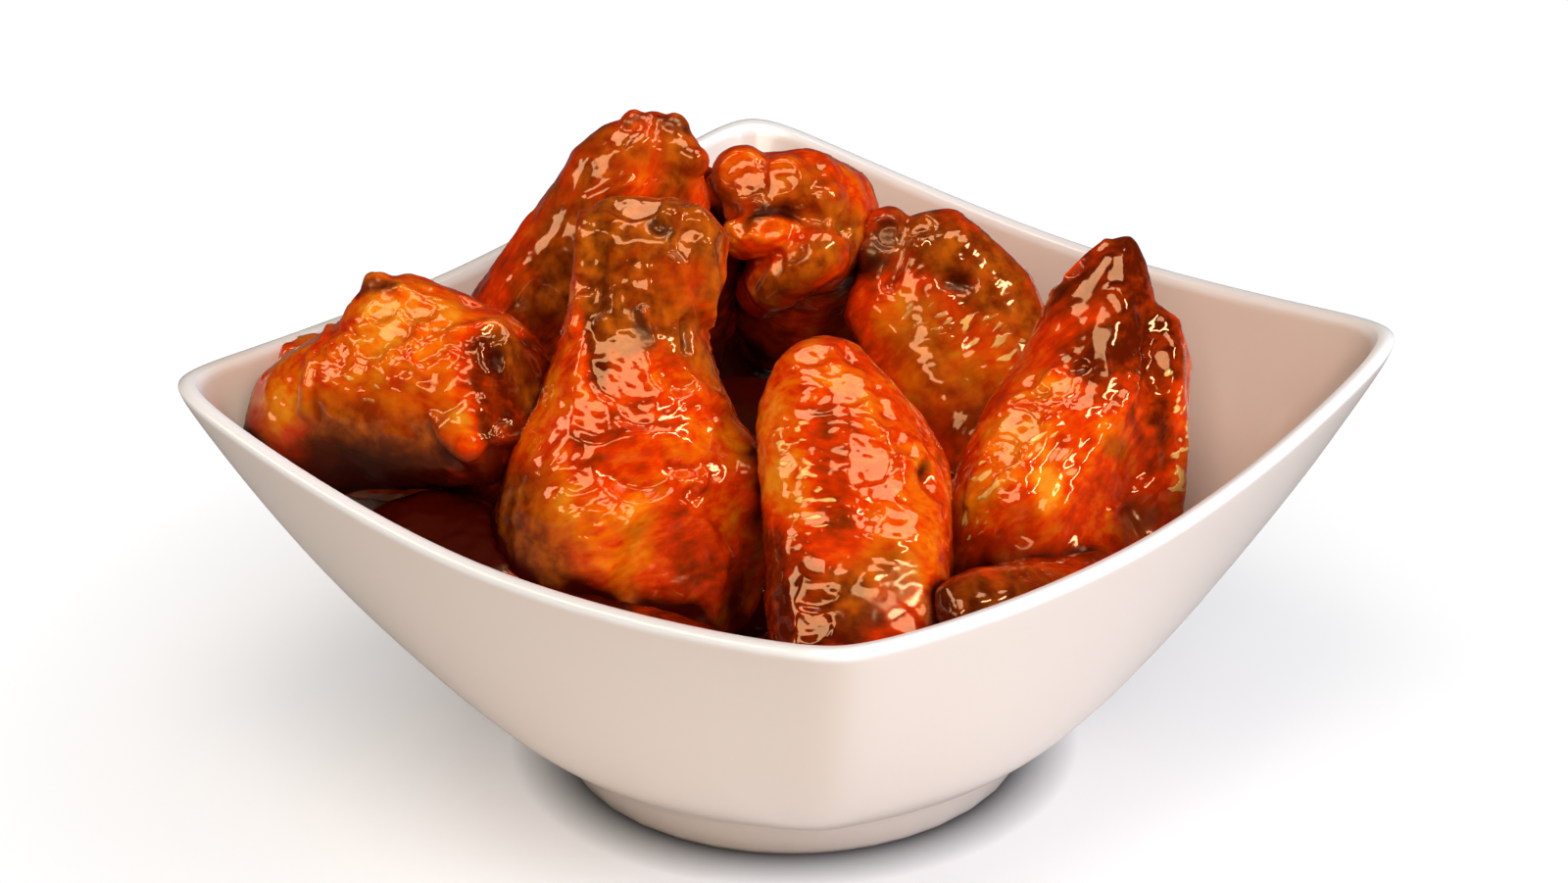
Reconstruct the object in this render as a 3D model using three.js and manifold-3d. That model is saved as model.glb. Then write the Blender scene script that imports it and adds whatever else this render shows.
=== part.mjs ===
// A square porcelain bowl heaped with sauced chicken wings.
// Millimetres, +Z up. The origin is on the table under the middle of the bowl, whose sides run along X
// and Y. The wings are laid out in the heap's own frame, an eighth of a turn round from the bowl's: there
// +X points to one corner of the bowl, +Y to the next, and -Y to the corner that faces the diner.
import * as THREE from "three";
import { mergeVertices } from "three/addons/utils/BufferGeometryUtils.js";
import Module from "manifold-3d";

const wasm = await Module();
wasm.setup();

// ---- driving dimensions ----------------------------------------------------------------------------------
const bowl = {
  sideReach: 85, // middle to the rim, half way along a side
  sideBulge: 4.8, // how far a side bows out past a straight one
  cornerPower: 23, // the higher, the tighter the rim's corners
  cornerHeight: 77.6,
  sideHeight: 70,
  dipPower: 0.85, // shape of the rim's dip between two corners
  footRadius: 42.5,
  footBevel: 1,
  shoulderRadius: 48.5, // where the round foot meets the square body
  shoulderHeight: 10.5,
  shoulderFillet: 2,
  bellyReach: 0.43, // control point of the wall's curve, as a share of its run and of its rise
  bellyRise: 0.09,
  wall: 4.2,
  rimWall: 3.2,
  recessRadius: 36.5, // the hollow under the foot
  recessDepth: 3,
  recessSlope: 1.5,
  floorHeight: 10,
};
const bowlFacets = { around: 56, wall: 6, floor: 3, rim: 4, cornerCrowding: 0.72 };

const gap = 0.35; // clear space between two pieces
const growth = 0.5; // a wing that cuts into its neighbour is this much larger than itself
const openTop = 200; // the room in the bowl is followed up to this height
const heapTurn = Math.PI / 4;

const flesh = {
  blend: 5.5, // how softly one muscle or bone end runs into the next
  broadBump: 0.9,
  broadLength: 7, // of one radian of its waves
  fineBump: 0.5,
  fineLength: 3.3,
  farthest: 60, // no flesh is farther than this from a wing's core
  step: 1.5, // first guess at the surface, halved as often as halvings says
  halvings: 9,
  seedStep: 1.7, // shifts the waves from one wing to the next
};
const sameVertex = 1e-3;
const topFacets = { around: 24, along: 15 };
const lowFacets = { around: 16, along: 10 };

// ---- bowl ------------------------------------------------------------------------------------------------
const sideHalf = bowl.sideReach - bowl.sideBulge;
const sideArc = (sideHalf ** 2 + bowl.sideBulge ** 2) / (2 * bowl.sideBulge);

// Distance from the middle to a rim of four bowed sides and rounded corners.
function rimReach(angle) {
  const centre = sideArc - bowl.sideReach;
  let sum = 0;
  for (let side = 0; side < 4; side++) {
    const along = -centre * Math.cos(angle - (side * Math.PI) / 2);
    const reach = along + Math.sqrt(along ** 2 - centre ** 2 + sideArc ** 2);
    sum += reach ** -bowl.cornerPower;
  }
  return sum ** (-1 / bowl.cornerPower);
}

const reachAtSide = rimReach(0);
const reachAtCorner = rimReach(Math.PI / 4);

function rimHeight(angle) {
  const share = (rimReach(angle) ** 2 - reachAtSide ** 2) / (reachAtCorner ** 2 - reachAtSide ** 2);
  return THREE.MathUtils.lerp(bowl.sideHeight, bowl.cornerHeight, Math.max(share, 0) ** bowl.dipPower);
}

// A point of the wall. run and rise are shares of the way from the shoulder to the rim, and inset and
// lift are the millimetres in and up from there that put the point under the surface by the thickness.
function wallPoint(share, thickness) {
  const pull = 2 * share * (1 - share);
  const turn = 2 - 4 * share;
  const across = new THREE.Vector2(
    (turn * bowl.bellyReach + 2 * share) * (bowl.sideReach - bowl.shoulderRadius),
    (turn * bowl.bellyRise + 2 * share) * (bowl.sideHeight - bowl.shoulderHeight),
  ).normalize();
  return {
    run: pull * bowl.bellyReach + share ** 2,
    rise: pull * bowl.bellyRise + share ** 2,
    inset: across.y * thickness,
    lift: across.x * thickness,
  };
}

const shares = (count) => Array.from({ length: count + 1 }, (_, i) => i / count);

function outerProfile() {
  return [
    { radius: 0, height: bowl.recessDepth },
    { radius: bowl.recessRadius, height: bowl.recessDepth },
    { radius: bowl.recessRadius + bowl.recessSlope, height: 0 },
    { radius: bowl.footRadius - bowl.footBevel, height: 0 },
    { radius: bowl.footRadius, height: bowl.footBevel },
    { radius: bowl.shoulderRadius - bowl.shoulderFillet, height: bowl.shoulderHeight - bowl.shoulderFillet },
    ...shares(bowlFacets.wall).map((share) => wallPoint(share, 0)),
  ];
}

function rimProfile() {
  const bead = bowl.rimWall / 2;
  const turns = shares(bowlFacets.rim).slice(1, -1);
  return turns.map((turn) => ({
    run: 1,
    rise: 1,
    inset: bead * (1 - Math.cos(turn * Math.PI)),
    lift: bead * Math.sin(turn * Math.PI),
  }));
}

// The inside, from the middle of the floor to the rim, with some clear space kept over it.
function innerProfile(clear) {
  const wall = shares(bowlFacets.wall).map((share) =>
    wallPoint(share, THREE.MathUtils.lerp(bowl.wall, bowl.rimWall, share) + clear),
  );
  const floorEnd = bowl.shoulderRadius - wall[0].inset;
  const floorRise = bowl.shoulderHeight + wall[0].lift - bowl.floorHeight - clear;
  const floor = shares(bowlFacets.floor).slice(0, -1);
  return [
    ...floor.map((share) => ({
      radius: floorEnd * share,
      height: bowl.floorHeight + clear + floorRise * share ** 2,
    })),
    ...wall,
  ];
}

// Turns a profile round the middle, and stretches its rings from a circle to the rim's outline.
function squareTurned(profile) {
  const rings = profile.map((_, i) => new THREE.Vector2(i === 0 || i === profile.length - 1 ? 0 : 1, i));
  const turned = new THREE.LatheGeometry(rings, bowlFacets.around);
  const position = turned.getAttribute("position");
  for (let i = 0; i < position.count; i++) {
    const even = (Math.floor(i / profile.length) / bowlFacets.around) * Math.PI * 2;
    const angle = even + (bowlFacets.cornerCrowding * Math.sin(4 * even)) / 4;
    const point = profile[i % profile.length];
    let { radius, height } = point;
    if (radius === undefined) {
      const reach = rimReach(angle);
      radius = THREE.MathUtils.lerp(bowl.shoulderRadius, reach, point.run);
      radius -= (point.inset * reach) / reachAtSide;
      height ??= THREE.MathUtils.lerp(bowl.shoulderHeight, rimHeight(angle), point.rise) + point.lift;
    }
    position.setXYZ(i, radius * Math.cos(angle), radius * Math.sin(angle), height);
  }
  return turned;
}

function bowlGeometry() {
  return squareTurned([...outerProfile(), ...rimProfile(), ...innerProfile(0).reverse()]);
}

// What the wings may fill: all that is over the bowl's inside, with the gap kept to it.
function roomInBowl() {
  const inside = innerProfile(gap);
  const rim = inside[inside.length - 1];
  return squareTurned([...inside, { ...rim, height: openTop }, { radius: 0, height: openTop }]);
}

// ---- flesh -----------------------------------------------------------------------------------------------
// A wing is a set of soft shapes that run into each other: round lumps and tapered limbs. In a wing's
// own frame +X runs along the bones, +Z out of the side that shows, and +Y across.
const vector = (numbers) => new THREE.Vector3(...numbers);
const lump = (at, radii) => ({ at: vector(at), radii: vector(radii) });
const limb = (from, to, thick, thin) => ({ from: vector(from), to: vector(to), thick, thin });

function distanceTo(shape, point) {
  if (shape.radii) {
    const offset = point.clone().sub(shape.at).divide(shape.radii);
    const near = offset.length();
    const steep = offset.divide(shape.radii).length();
    return steep > 0 ? (near * (near - 1)) / steep : -shape.radii.z;
  }
  const line = new THREE.Line3(shape.from, shape.to);
  const share = line.closestPointToPointParameter(point, true);
  const onLine = line.at(share, new THREE.Vector3());
  return point.distanceTo(onLine) - THREE.MathUtils.lerp(shape.thick, shape.thin, share);
}

function softDistance(shapes, point) {
  let least = distanceTo(shapes[0], point);
  for (const shape of shapes.slice(1)) {
    const next = distanceTo(shape, point);
    const mix = Math.max(1 - Math.abs(least - next) / flesh.blend, 0);
    least = Math.min(least, next) - (mix ** 2 * flesh.blend) / 4;
  }
  return least;
}

// Uneven flesh and skin, a millimetre or so high, no two wings alike.
function unevenness(point, seed) {
  const [broadAlong, broadAcross, broadThrough] = point.clone().divideScalar(flesh.broadLength);
  const [fineAlong, fineAcross, fineThrough] = point.clone().divideScalar(flesh.fineLength);
  const broad = Math.sin(broadAlong + seed) * Math.sin(broadAcross - 2 * seed);
  const swell = Math.sin(broadThrough + 3 * seed) / 2;
  const fine = Math.sin(fineAlong - seed) * Math.sin(fineAcross + seed) * Math.sin(fineThrough + seed);
  return flesh.broadBump * (broad + swell) + flesh.fineBump * fine;
}

// Comes in from afar until it meets the flesh, and closes in on its surface.
function surfaceReach(shapes, start, direction) {
  const isInside = (reach) => softDistance(shapes, start.clone().addScaledVector(direction, reach)) < 0;
  let outside = flesh.farthest;
  let inside = outside - flesh.step;
  while (inside > 0 && !isInside(inside)) {
    outside = inside;
    inside -= flesh.step;
  }
  for (let halving = 0; halving < flesh.halvings; halving++) {
    const middle = (inside + outside) / 2;
    if (isInside(middle)) inside = middle;
    else outside = middle;
  }
  return inside;
}

// A sphere whose points go out from the wing's core line, each its own way, as far as the flesh does.
function wingGeometry({ shapes, core }, seed, facets, extra) {
  const [coreStart, coreEnd] = core.map(vector);
  const skin = new THREE.SphereGeometry(1, facets.around, facets.along).rotateZ(Math.PI / 2);
  const position = skin.getAttribute("position");
  for (let i = 0; i < position.count; i++) {
    const direction = new THREE.Vector3().fromBufferAttribute(position, i).normalize();
    const start = coreStart.clone().lerp(coreEnd, (1 + direction.x) / 2);
    const surface = start.clone().addScaledVector(direction, surfaceReach(shapes, start, direction));
    surface.addScaledVector(direction, unevenness(surface, seed) + extra);
    position.setXYZ(i, ...surface);
  }
  return skin;
}

// Stands a wing in the heap: its +X points from foot to tip, and its +Z as near as it can to what it faces.
function standing({ foot, tip, faces }) {
  const alongBones = vector(tip).sub(vector(foot)).normalize();
  const across = vector(faces).cross(alongBones).normalize();
  const outwards = alongBones.clone().cross(across);
  return new THREE.Matrix4()
    .makeRotationZ(heapTurn)
    .multiply(new THREE.Matrix4().makeTranslation(vector(foot)))
    .multiply(new THREE.Matrix4().makeBasis(alongBones, across, outwards));
}

// ---- the cuts of wing ------------------------------------------------------------------------------------
// The upper joint: a fat muscle that thins to a shank, with the two knobs of the elbow at its end.
const drumette = {
  shapes: [
    lump([22, 0, 0], [22, 20, 18]),
    lump([38, 3, 1], [20, 14, 14]),
    limb([38, 0, 0], [70, 0, 0], 12, 8.5),
    lump([74, 6, 0], [8, 7.5, 8]),
    lump([75, -6, 1], [7.5, 7, 7.5]),
  ],
  core: [[20, 0, 0], [70, 0, 0]],
};

// The middle joint: two thin bones side by side in a flat wrap of meat.
const flat = {
  shapes: [
    limb([9, 9, 0], [72, 8, 0], 7.5, 7),
    limb([9, -8, 0], [72, -7, 0], 8.5, 7),
    lump([38, 0, 1], [32, 18, 9]),
    lump([7, 7, 0], [8, 10, 9]),
    lump([74, 6, 0], [7, 9, 8]),
  ],
  core: [[14, 0, 0], [67, 0, 0]],
};

// A drumette with a swollen end, cut flat on one side, and a shank in a loose sleeve of skin.
const sleevedDrumette = {
  shapes: [
    lump([23, 0, 0], [24, 23, 20]),
    lump([11, 11, -3.5], [15, 14, 16]),
    lump([10, -11, 7], [13, 13, 9]),
    lump([28, -23, 3], [11, 6, 8]),
    lump([36, 1, -2], [21, 17, 16]),
    limb([41, 0, 0], [65, -1, 0], 13, 10.5),
    limb([47, 7, 3], [72, 8, 2], 4, 4),
    lump([70, 3.5, 0], [8, 8.5, 10]),
    lump([68, -7, 1], [8, 7, 10]),
  ],
  core: [[22, 0, 0], [67, 0, 0]],
};

// A flat with a broad back between its bones and a lap of skin down one side.
const lappedFlat = {
  shapes: [
    lump([40, -1, 0], [37, 16, 11]),
    limb([11, 5, 0], [65, 3.5, 0], 8, 7),
    limb([9, -8, 1], [63, -5.5, 2], 8, 7),
    lump([47, -14, -2], [18, 6, 6]),
    lump([70, 1, 0], [7, 8, 8]),
    lump([20, -11, 0], [11, 7, 7]),
  ],
  core: [[16, 0, 0], [63, 0, 0]],
};

// A flat with the wing's pointed tip left on it, and a fold of skin down its edge.
const pointedFlat = {
  shapes: [
    lump([27, 7, 2], [25, 15, 14]),
    lump([16, -3.5, 0], [16, 18, 13]),
    lump([43, 3.5, 0], [18, 14, 11]),
    limb([18, -17, -3.5], [63, -11, -3.5], 5.5, 5.5),
    limb([45, 0, -2], [72, -1, -3], 11, 6),
    limb([68, 0, -3], [80, -1, -3], 6, 1.5),
    lump([61, 3.5, -2], [11, 8, 7]),
  ],
  core: [[18, -2, 0], [65, -2, -3]],
};

// A drumette cut short through its joint, with a flap of skin that hangs from the cut.
const cutDrumette = {
  shapes: [
    lump([26, 2, 2], [26, 15, 15]),
    lump([9, -5, 2], [11, 12, 12]),
    lump([34, 7, 5.5], [15, 12, 13]),
    limb([36, -1, 0], [46.5, 0, 0], 14, 11.5),
    lump([50.5, 5.5, 3], [5.5, 7, 7]),
    lump([46, -12, -3.5], [5.5, 5.5, 6]),
    lump([32, 12, 14], [5.5, 5.5, 5.5]),
  ],
  core: [[20, 0, 0], [45, 1, 0]],
};

// A smooth flat whose bone ends stand out at its top.
const knobbedFlat = {
  shapes: [
    lump([36, 2, 0], [34, 15, 11]),
    limb([9, 5.5, 0], [68, 3.5, 0], 10, 9),
    limb([11, -7, 0], [63, -5.5, -1], 8, 7),
    lump([74, 4.5, 0], [6, 5.5, 6]),
    lump([77, -4, 1], [6.5, 5.5, 5.5]),
    lump([71, -10, 1], [4.5, 4.5, 4.5]),
  ],
  core: [[14, 0, 0], [68, 0, 0]],
};

// A drumette seen by its elbow: two round bone ends, a knob of flesh, a smooth muscle and a bare tendon.
const elbowDrumette = {
  shapes: [
    lump([24, 0, 0], [23, 19, 17]),
    limb([36, 0, 0], [61, 3.5, 0], 14, 12),
    lump([68, -5.5, 7], [8, 7, 7]),
    lump([68, 4.5, 6], [8, 7, 7]),
    lump([72, -3.5, -1], [7, 6, 5.5]),
    lump([67, 3.5, -8], [8, 8, 5.5]),
    lump([59, 8, 3.5], [9, 7, 9]),
    lump([65, -12, 6], [6, 4, 4]),
  ],
  core: [[22, 0, 0], [61, 2, 0]],
};

// A flat with the dark end of its joint standing out at one corner.
const corneredFlat = {
  shapes: [
    lump([36, 0, 0], [34, 16, 10]),
    limb([11, 7, 0], [65, 5.5, 0], 8, 8),
    limb([11, -8, 0], [59, -8, 0], 8, 7),
    lump([70, 10, 0], [6, 5.5, 7]),
    lump([59, 16, 2], [8, 4.5, 6]),
    lump([68, -1, 0], [7, 7, 7]),
  ],
  core: [[14, 0, 0], [63, 2, 0]],
};

// ---- the heap --------------------------------------------------------------------------------------------
// Where they press together, each wing gives way to the ones before it.
const topWings = {
  wing_front_drumette: {
    cut: sleevedDrumette,
    foot: [-33, -33, 41],
    tip: [-24, 1, 111],
    faces: [0, -1, 0.4],
  },
  wing_front_flat: { cut: lappedFlat, foot: [7, -77, 43], tip: [5, -12, 89], faces: [0.1, -0.7, 0.7] },
  wing_pointed: { cut: pointedFlat, foot: [41, -38, 33], tip: [60, 4.5, 98], faces: [0, -0.8, 0.6] },
  wing_left_drumette: { cut: cutDrumette, foot: [-94, 9, 63], tip: [-45, -16, 84], faces: [0, -0.5, 0.9] },
  wing_brown_flat: { cut: corneredFlat, foot: [45, 0, 25], tip: [30, 38, 83], faces: [0, -0.8, 0.6] },
  wing_back_drumette: { cut: elbowDrumette, foot: [13, 83, 40], tip: [0, 31, 95], faces: [0, 0.7, 0.7] },
  wing_tall_flat: { cut: knobbedFlat, foot: [-59, 20, 40], tip: [-21, 32, 109], faces: [0, -1, 0.3] },
};
const lowWings = {
  wing_low_front_left: { cut: drumette, foot: [-79, -7, 45], tip: [-9, -67, 45], faces: [0, -0.3, 1] },
  wing_low_front_right: { cut: flat, foot: [14, -64, 55], tip: [70, -16, 33], faces: [-0.7, 0.7, 1] },
  wing_low_left: { cut: flat, foot: [-91, 12, 66], tip: [-30, 50, 42], faces: [0.5, -0.5, 1] },
  wing_low_back: { cut: drumette, foot: [-27, 67, 18], tip: [-14, 50, 77], faces: [0, -1, 0.3] },
  wing_low_middle: { cut: flat, foot: [-22, 20, 50], tip: [44, 14, 45], faces: [0, -0.4, 1] },
  wing_under_front: { cut: drumette, foot: [-18, -46, 31], tip: [50, -38, 24], faces: [0, -0.3, 1] },
  wing_under_middle: { cut: drumette, foot: [-40, 2, 31], tip: [40, -18, 25], faces: [0, -0.3, 1] },
  wing_under_back: { cut: drumette, foot: [47, 40, 34], tip: [-31, 36, 27], faces: [0, -0.3, 1] },
  wing_under_left: { cut: flat, foot: [-59, -25, 38], tip: [-36, 31, 25], faces: [0.3, 0, 1] },
};

// ---- joining and cutting ---------------------------------------------------------------------------------
function solidOf(geometry) {
  const bare = geometry.clone();
  bare.deleteAttribute("normal");
  bare.deleteAttribute("uv");
  const merged = mergeVertices(bare, sameVertex);
  const mesh = new wasm.Mesh({
    numProp: 3,
    vertProperties: merged.getAttribute("position").array,
    triVerts: new Uint32Array(merged.index.array),
  });
  return new wasm.Manifold(mesh);
}

function geometryOf(solid) {
  const { vertProperties, triVerts } = solid.getMesh();
  const geometry = new THREE.BufferGeometry();
  geometry.setAttribute("position", new THREE.BufferAttribute(vertProperties, 3));
  geometry.setIndex(new THREE.BufferAttribute(triVerts, 1));
  geometry.computeVertexNormals();
  return geometry;
}

function largestOf(solid) {
  return solid.decompose().reduce((best, next) => (next.volume() > best.volume() ? next : best));
}

// ---- the model -------------------------------------------------------------------------------------------
const porcelain = new THREE.MeshStandardMaterial({ color: "#efe9e3", roughness: 0.25 });
const saucedSkin = new THREE.MeshStandardMaterial({ color: "#b8410f", roughness: 0.3 });
const serving = new THREE.Group();

function addPiece(name, geometry, material) {
  const mesh = new THREE.Mesh(geometry, material);
  mesh.name = name;
  serving.add(mesh);
}

addPiece("bowl", bowlGeometry(), porcelain);

const room = solidOf(roomInBowl());
const takenUp = [];

function addWings(wings, facets) {
  for (const [name, wing] of Object.entries(wings)) {
    const stand = standing(wing);
    const seed = takenUp.length * flesh.seedStep;
    const shaped = (extra) => solidOf(wingGeometry(wing.cut, seed, facets, extra).applyMatrix4(stand));
    const pressed = takenUp.reduce((left, earlier) => left.subtract(earlier), shaped(0).intersect(room));
    takenUp.push(shaped(growth));
    addPiece(name, geometryOf(largestOf(pressed)), saucedSkin);
  }
}

addWings(topWings, topFacets);
addWings(lowWings, lowFacets);

export default serving;
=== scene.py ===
import math
import time

import bmesh
import bpy
import numpy as np
from mathutils import Matrix, Vector, noise
from mathutils.bvhtree import BVHTree
from mathutils.kdtree import KDTree


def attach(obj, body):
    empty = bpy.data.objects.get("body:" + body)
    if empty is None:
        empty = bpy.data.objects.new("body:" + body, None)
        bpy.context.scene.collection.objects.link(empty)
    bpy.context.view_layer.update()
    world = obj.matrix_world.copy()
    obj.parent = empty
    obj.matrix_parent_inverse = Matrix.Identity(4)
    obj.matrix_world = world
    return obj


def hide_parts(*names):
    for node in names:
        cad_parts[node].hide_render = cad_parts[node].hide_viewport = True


started = time.time()
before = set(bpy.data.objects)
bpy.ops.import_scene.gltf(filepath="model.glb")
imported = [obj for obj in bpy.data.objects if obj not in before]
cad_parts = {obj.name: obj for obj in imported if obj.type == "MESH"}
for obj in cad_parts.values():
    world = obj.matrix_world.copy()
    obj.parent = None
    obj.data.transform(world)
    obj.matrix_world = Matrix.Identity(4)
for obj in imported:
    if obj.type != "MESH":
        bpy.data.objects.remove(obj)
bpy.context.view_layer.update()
mm = 0.001  # settings are in millimetres where nothing else is said, and the scene is in metres


def report(stage):
    print(f"{time.time() - started:6.1f} s  {stage}")


def direction(azimuth, elevation):
    # out from the bowl, in degrees: azimuth 0 is towards -Y and 90 towards +X
    turn, rise = math.radians(azimuth), math.radians(elevation)
    return Vector((math.sin(turn) * math.cos(rise), -math.cos(turn) * math.cos(rise), math.sin(rise)))


def linear(hexColour):
    # an sRGB colour as the four linear channels that a socket takes
    channels = [int(hexColour[i:i + 2], 16) / 255 for i in (1, 3, 5)]
    return [c / 12.92 if c <= 0.04045 else ((c + 0.055) / 1.055) ** 2.4 for c in channels] + [1.0]


def node(tree, kind, settings=None, links=None):
    # settings are the node's own properties and the values of its sockets, links the sockets that feed it
    added = tree.nodes.new(kind)
    for name, value in (settings or {}).items():
        if isinstance(name, str) and hasattr(added, name):
            setattr(added, name, value)
        else:
            added.inputs[name].default_value = value
    for name, source in (links or {}).items():
        tree.links.new(source, added.inputs[name])
    return added


def emptyMaterial(name):
    material = bpy.data.materials.new(name)
    material.use_nodes = True
    material.node_tree.nodes.clear()
    return material, material.node_tree


# camera

shot = {
    "azimuth": 41.253, "elevation": 26.849, "roll": -0.7015,  # degrees
    "aside": -1.291, "height": 61.79,  # the point looked at: right of the middle, and above the table
    "distance": 908.8,
    "lens": 115.46, "sensor": 36.0,
    "nearest": 0.01, "farthest": 20,  # what the camera sees, in metres
    "picture": (1600, 901),
}


def cameraPlace():
    turn, roll = math.radians(shot["azimuth"]), math.radians(shot["roll"])
    back = direction(shot["azimuth"], shot["elevation"])
    level = Vector((math.cos(turn), math.sin(turn), 0))
    above = back.cross(level)
    right = level * math.cos(roll) + above * math.sin(roll)
    up = above * math.cos(roll) - level * math.sin(roll)
    lookedAt = level * shot["aside"] * mm + Vector((0, 0, shot["height"] * mm))
    return lookedAt + back * shot["distance"] * mm, right, up, back


def addCamera():
    place, right, up, back = cameraPlace()
    data = bpy.data.cameras.new("camera")
    data.lens = shot["lens"]
    data.sensor_width = shot["sensor"]
    data.clip_start = shot["nearest"]
    data.clip_end = shot["farthest"]
    camera = bpy.data.objects.new("camera", data)
    bpy.context.scene.collection.objects.link(camera)
    turn = Matrix((right, up, back)).transposed().to_4x4()
    camera.matrix_world = Matrix.Translation(place) @ turn
    bpy.context.scene.camera = camera


def pictureRay(x, y):
    # the line from the camera through a point of its picture, which is 1600 points wide and 901 high
    place, right, up, back = cameraPlace()
    width, height = shot["picture"]
    perPoint = shot["sensor"] / shot["lens"] / width
    through = right * (x - width / 2) * perPoint - up * (y - height / 2) * perPoint - back
    return place, through.normalized()


# lights

warmWhite = "#FFF4EA"
lampAim = 0.06  # metres above the table, what every softbox points at
softboxes = {
    # where it hangs round the bowl and how high, in degrees, how far off and how large, in metres, and
    # whether it is mirrored in the sauce or lights the matt side of things
    "top": {"azimuth": 30, "elevation": 68, "distance": 0.9, "size": (0.4, 0.4), "watts": 4.1,
            "colour": warmWhite, "mirrored": False},
    "fill": {"azimuth": 48, "elevation": 32, "distance": 1.4, "size": (0.9, 0.6), "watts": 9.0,
             "colour": warmWhite, "mirrored": False},
    "right": {"azimuth": 112, "elevation": 20, "distance": 1.6, "size": (0.8, 0.6), "watts": 20.5,
              "colour": "#D2E4FF", "mirrored": False},
    "highRight": {"azimuth": 136, "elevation": 69, "distance": 0.9, "size": (0.44, 0.38), "watts": 4.2,
                  "colour": warmWhite, "mirrored": True},
    "highLeft": {"azimuth": -85, "elevation": 77, "distance": 0.9, "size": (0.34, 0.34), "watts": 2.9,
                 "colour": warmWhite, "mirrored": True},
    "front": {"azimuth": 9, "elevation": 47, "distance": 1.0, "size": (0.7, 0.24), "watts": 4.4,
              "colour": warmWhite, "mirrored": True},
    "left": {"azimuth": -44, "elevation": 38, "distance": 1.0, "size": (0.25, 0.34), "watts": 2.1,
             "colour": warmWhite, "mirrored": True},
    "strip": {"azimuth": 103, "elevation": 46, "distance": 1.0, "size": (0.5, 0.09), "watts": 4.4,
              "colour": "#FFFFFF", "mirrored": True},
}


def addLights():
    for name, box in softboxes.items():
        data = bpy.data.lights.new(name, "AREA")
        data.shape = "RECTANGLE"
        data.size, data.size_y = box["size"]
        data.energy = box["watts"]
        data.color = linear(box["colour"])[:3]
        lamp = bpy.data.objects.new(name, data)
        out = direction(box["azimuth"], box["elevation"])
        lamp.location = Vector((0, 0, lampAim)) + out * box["distance"]
        lamp.rotation_euler = out.to_track_quat("Z", "Y").to_euler()
        lamp.visible_glossy = box["mirrored"]
        lamp.visible_diffuse = not box["mirrored"]
        bpy.context.scene.collection.objects.link(lamp)


# the camera sees a white room, but the things in it feel a faint warm one
room = {"seen": "#FFFFFF", "felt": "#FFE2CA", "seenStrength": 1.0, "feltStrength": 0.05}


def addRoom():
    world = bpy.data.worlds.new("room")
    world.use_nodes = True
    tree = world.node_tree
    tree.nodes.clear()
    path = node(tree, "ShaderNodeLightPath")
    felt = node(tree, "ShaderNodeBackground",
                {"Color": linear(room["felt"]), "Strength": room["feltStrength"]})
    seen = node(tree, "ShaderNodeBackground",
                {"Color": linear(room["seen"]), "Strength": room["seenStrength"]})
    mixed = node(tree, "ShaderNodeMixShader", {}, {0: path.outputs["Is Camera Ray"],
                                                   1: felt.outputs[0], 2: seen.outputs[0]})
    node(tree, "ShaderNodeOutputWorld", {}, {"Surface": mixed.outputs[0]})
    bpy.context.scene.world = world
    bpy.context.scene.view_settings.view_transform = "Standard"


# shared mesh work

mergeWithin = 0.01  # how near two corners of a CAD mesh lie when they are one


def objectFrom(bm, name):
    mesh = bpy.data.meshes.new(name)
    bm.to_mesh(mesh)
    bm.free()
    obj = bpy.data.objects.new(name, mesh)
    bpy.context.scene.collection.objects.link(obj)
    return obj


def applied(obj):
    # the object's mesh as its modifiers make it
    shaped = bpy.data.meshes.new_from_object(obj.evaluated_get(bpy.context.evaluated_depsgraph_get()))
    obj.modifiers.clear()
    old = obj.data
    obj.data = shaped
    bpy.data.meshes.remove(old)
    return shaped


def triangles(mesh):
    return len(mesh.loops) - 2 * len(mesh.polygons)


def pointsOf(mesh):
    points = np.empty(len(mesh.vertices) * 3)
    mesh.vertices.foreach_get("co", points)
    return points.reshape(-1, 3)


def normalsOf(mesh):
    normals = np.empty(len(mesh.vertices) * 3)
    mesh.vertices.foreach_get("normal", normals)
    return normals.reshape(-1, 3)


def setPoints(mesh, points):
    mesh.vertices.foreach_set("co", points.ravel())
    mesh.update()


def paint(mesh, name, values):
    layer = mesh.attributes.new(name, "FLOAT", "POINT")
    layer.data.foreach_set("value", np.clip(values, 0, 1))


def paintPlaces(mesh, name, places):
    layer = mesh.attributes.new(name, "FLOAT_VECTOR", "POINT")
    layer.data.foreach_set("vector", places.ravel())


def grain(points, size, shift, octaves=1):
    # smooth random values between about -1 and 1, whose waves are size long
    places = (points / (size * mm) + shift).tolist()
    if octaves == 1:
        return np.array([noise.noise(place) for place in places])
    fading, finer = 0.8, 2.0  # how fast the finer waves fade, and how much finer each one is
    return np.array([noise.fractal(place, fading, finer, octaves) for place in places])


def meanAround(mesh, values, times):
    # each point's value becomes the mean of its neighbours', so many times
    edges = np.empty(len(mesh.edges) * 2, int)
    mesh.edges.foreach_get("vertices", edges)
    near, far = np.concatenate((edges[::2], edges[1::2])), np.concatenate((edges[1::2], edges[::2]))
    count = np.maximum(np.bincount(near, minlength=len(values)), 1)
    columns = np.atleast_2d(values.T)
    for _ in range(times):
        columns = np.array([np.bincount(near, column[far], len(values)) / count for column in columns])
    return columns.T.reshape(values.shape)


# floor

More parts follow.
